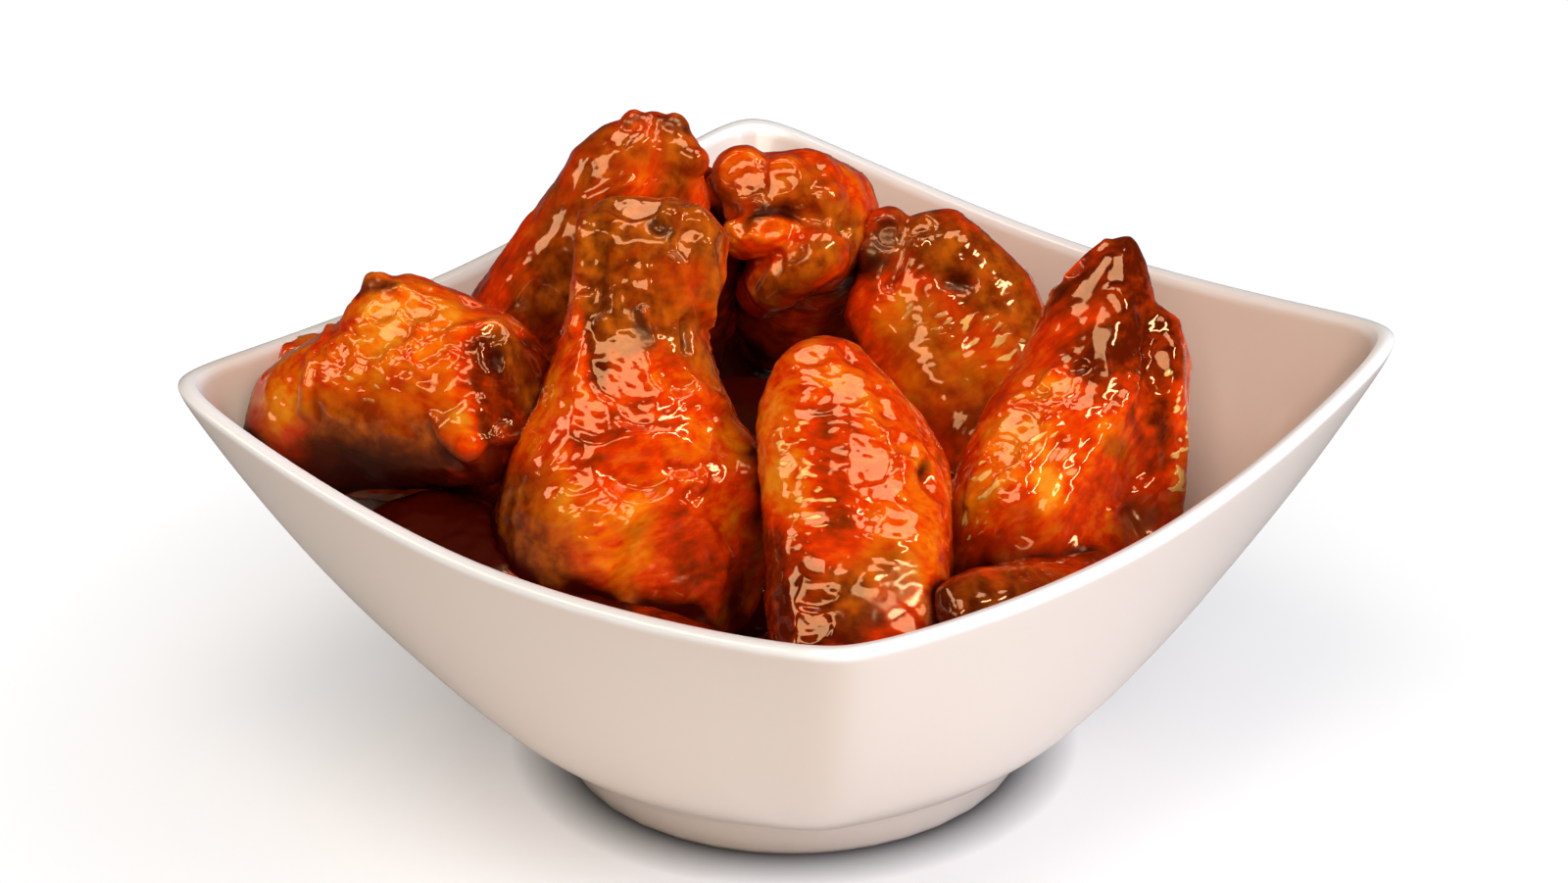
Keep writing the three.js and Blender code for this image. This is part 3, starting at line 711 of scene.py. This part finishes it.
        "seed": 8, "tone": 0.1,
        "shadeStrokes": [([(340, 490), (430, 510), (520, 560), (600, 610)], 14, 1.4)],
    },
    "wing_low_front_right": {
        "seed": 9, "tone": 0.2,
        "shadeStrokes": [([(950, 605), (1000, 615), (1090, 600)], 12, 0.42)],
        "toned": [([(1040, 600), (1100, 590)], 10, 0.2), ([(955, 612), (985, 622)], 9, -0.3)],
        "browned": [([(1010, 615), (1075, 605)], 12, 0.8)],
    },
    "wing_low_left": {"seed": 10, "tone": 0.6, "shade": 0.3},
    "wing_low_back": {"seed": 11, "tone": 0.1},
    "wing_low_middle": {
        "seed": 12, "tone": 0.1,
        "shadeStrokes": [([(748, 320), (762, 370), (784, 420)], 13, 1.4)],
    },
    "wing_under_front": {"seed": 13, "tone": 0.05},
    "wing_under_middle": {"seed": 14, "tone": 0.05},
    "wing_under_back": {"seed": 15, "tone": 0.05},
    "wing_under_left": {"seed": 16, "tone": 0.05},
}


def trailOn(tree, path, spacing=skinDetail["strokeSpacing"]):
    # the places on a wing that a path of picture points falls on
    trail = []
    stops = [Vector(point) for point in path]
    for start, end in zip(stops, stops[1:] or stops):
        count = max(1, round((end - start).length / spacing))
        for step in range(count + 1):
            place = tree.ray_cast(*pictureRay(*start.lerp(end, step / count)))[0]
            if place:
                trail.append(place)
    return trail


def nearness(points, trail, width):
    # 1 on the trail, and down to 0 at the width
    least = np.full(len(points), np.inf)
    for place in trail:
        least = np.minimum(least, ((points - np.array(place)) ** 2).sum(1))
    return np.clip(1 - least / (width * mm) ** 2, 0, 1) ** 2


def patches(points, tree, strokes, joined=np.maximum):
    total = np.zeros(len(points))
    for path, width, much in strokes:
        total = joined(total, nearness(points, trailOn(tree, path), width) * much)
    return total


def wave(points, name, shift):
    length, height, ownShift, octaves = skinWaves[name]
    return grain(points, length, shift + ownShift, octaves) * height


def plainHeap():
    # all the plain solids, for finding what is shut in between them
    bm = bmesh.new()
    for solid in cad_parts.values():
        bm.from_mesh(solid.data)
    tree = BVHTree.FromBMesh(bm)
    bm.free()
    return tree


def dome(count):
    # directions spread evenly over a half ball, a golden angle apart
    turn = math.pi * (3 - math.sqrt(5))
    rays = []
    for i in range(count):
        rise = (i + 0.5) / count
        across = math.sqrt(1 - rise ** 2)
        rays.append(Vector((across * math.cos(i * turn), across * math.sin(i * turn), rise)))
    return rays


def shutIn(points, normals, heap):
    # the share of the directions out of the skin in which a neighbour is close
    rays = dome(shade["rays"])
    shares = []
    for point, normal in zip(points, normals):
        out = Vector(normal)
        turn = out.to_track_quat("Z", "Y")
        start = Vector(point) + out * shade["off"] * mm
        hits = [heap.ray_cast(start, turn @ ray, shade["reach"] * mm)[0] for ray in rays]
        shares.append(sum(hit is not None for hit in hits) / len(rays))
    return np.array(shares)


def heapShade(mesh, points, heap):
    # how shut in the skin is, measured at a few of its points and smoothed over the rest
    few = slice(None, None, shade["every"])
    measured = shutIn(points[few], normalsOf(mesh)[few], heap)
    nearest = KDTree(len(measured))
    for i, place in enumerate(points[few]):
        nearest.insert(place, i)
    nearest.balance()
    shares = np.array([measured[nearest.find(place)[1]] for place in points])
    return meanAround(mesh, shares, shade["smoothings"])


def fusedWing(name, wing):
    # the plain wing with its own lumps, melted into one closed skin of even faces
    bm = bmesh.new()
    bm.from_mesh(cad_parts[name].data)
    bmesh.ops.remove_doubles(bm, verts=bm.verts, dist=mergeWithin * mm)
    tree = BVHTree.FromBMesh(bm)
    back = cameraPlace()[3]
    for path, radius, sunk in wing.get("lumps", ()):
        for place in trailOn(tree, path, skinDetail["lumpSpacing"]):
            at = Matrix.Translation(place - back * sunk * mm)
            bmesh.ops.create_icosphere(bm, subdivisions=3, radius=radius * mm, matrix=at)
    obj = objectFrom(bm, name + "_skin")
    remesh = obj.modifiers.new("remesh", "REMESH")
    remesh.mode = "VOXEL"
    remesh.voxel_size = (skinDetail["voxel"] if "folds" in wing else skinDetail["coarseVoxel"]) * mm
    smooth = obj.modifiers.new("smooth", "SMOOTH")
    smooth.factor = skinDetail["smoothing"]
    smooth.iterations = skinDetail["smoothings"]
    return obj, applied(obj)


def pictureAxes():
    return [np.array(axis) for axis in cameraPlace()[1:]]  # right, up and back


def fibrePlaces(points, wing, shift):
    # the points drawn together across the grain, so that a pattern on them is stretched along it
    right, up, back = pictureAxes()
    turn = math.radians(wing.get("grain", wrinkles["grain"]))
    along = right * math.cos(turn) + up * math.sin(turn)
    across = up * math.cos(turn) - right * math.sin(turn)
    wander = wave(points, "wander", shift)[:, None] * across * mm
    return (points + wander) @ np.array([along, across * wrinkles["stretch"], back * wrinkles["stretch"]]).T


def relief(points, normals, fibre, tree, wing, shift):
    # how far the skin stands out at each point, in mm
    ripples = grain(fibre, wrinkles["width"] * wrinkles["stretch"], shift + wrinkles["pattern"],
                    wrinkles["octaves"])
    valleys = wrinkles["contrast"] * np.abs(ripples) - wrinkles["sunk"]
    loose = grain(points, wrinkles["patch"], shift + wrinkles["patchPattern"]) * wrinkles["patchEdge"]
    loose = np.clip(loose, 0, 1) * wrinkles["loose"]
    if "wrinkled" in wing:  # its own strokes wrinkle the side that faces the camera
        steepness, start = wrinkles["behind"]
        loose *= np.clip((normals @ -pictureAxes()[2]) * steepness + start, 0, 1)
    uneven = 1 - patches(points, tree, wing.get("calm", ()))
    wrinkled = np.maximum(patches(points, tree, wing.get("wrinkled", ())), loose * uneven)
    height = skinDetail["regain"] + valleys * wrinkles["height"] * (wrinkled + wrinkles["faint"] * uneven)
    height += wave(points, "swell", shift) + wave(points, "lump", shift) * uneven
    return height + patches(points, tree, wing.get("folds", ()), np.add)


def cutOff(points, tree, wing, shift):
    # what stands over the plane of a cut is pressed down to it, and the plane is a little wavy
    axes = np.array(pictureAxes()).T
    edge = skinDetail["cutEdge"]
    waves = (wave(points, "cutWave", shift) + wave(points, "cutRipple", shift)) * mm
    for x, y, depth, reach, tilt in wing.get("cuts", ()):
        place = np.array(trailOn(tree, [(x, y)])[0])
        facing = axes @ np.array(mirroring.get(tilt, tilt))
        facing /= np.linalg.norm(facing)
        over = (points - place) @ facing + depth * mm + waves
        within = np.clip(edge - edge * np.linalg.norm(points - place, axis=1) / (reach * mm), 0, 1)
        points = points - (np.maximum(over, 0) * within)[:, None] * facing
    return points


def buildWing(name, wing, skin, heap):
    obj, mesh = fusedWing(name, wing)
    points, normals = pointsOf(mesh), normalsOf(mesh)
    tree = BVHTree.FromPolygons([v.co for v in mesh.vertices], [p.vertices for p in mesh.polygons])
    shift = np.array(skinDetail["seedStep"]) * wing["seed"]
    fibre = fibrePlaces(points, wing, shift)
    flecked = patches(points, tree, wing.get("flecked", ())) ** skinDetail["fleckEdge"]
    height = relief(points, normals, fibre, tree, wing, shift)
    points = points + normals * height[:, None] * mm
    setPoints(mesh, points)
    shaded = heapShade(mesh, points, heap) * wing.get("shade", 1)
    points = cutOff(points, tree, wing, shift)
    setPoints(mesh, points)

    below = meanAround(mesh, points, hollow["smoothings"]) - points
    sunk = (below * normalsOf(mesh)).sum(1) / mm
    paintPlaces(mesh, "fibre", fibre / mm + shift)
    # painted shade in the hollows of the skin
    paint(mesh, "sunk", meanAround(mesh, sunk, hollow["blur"]) * hollow["strength"])
    # painted shade: darker, duller skin where it is shut in between the wings and along its strokes of shade
    paint(mesh, "paintedShade", np.maximum(shaded, patches(points, tree, wing.get("shadeStrokes", ()))))
    paint(mesh, "flecked", flecked)
    paint(mesh, "tone", wing["tone"] + patches(points, tree, wing.get("toned", ()), np.add))
    for kind in ("browned", "charred"):
        paint(mesh, kind, patches(points, tree, wing.get(kind, ())))
    mesh.materials.clear()
    mesh.materials.append(skin)
    mesh.shade_smooth()
    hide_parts(name)
    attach(obj, "root")
    report(f"{name}: {triangles(mesh)} triangles")


addCamera()
addLights()
addRoom()
addFloor()
report("camera, lights and floor")
buildBowl(glazedPorcelain())
skin, heap = saucedSkin(), plainHeap()
for wingName, wing in wings.items():
    buildWing(wingName, wing, skin, heap)

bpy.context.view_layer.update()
report("done")
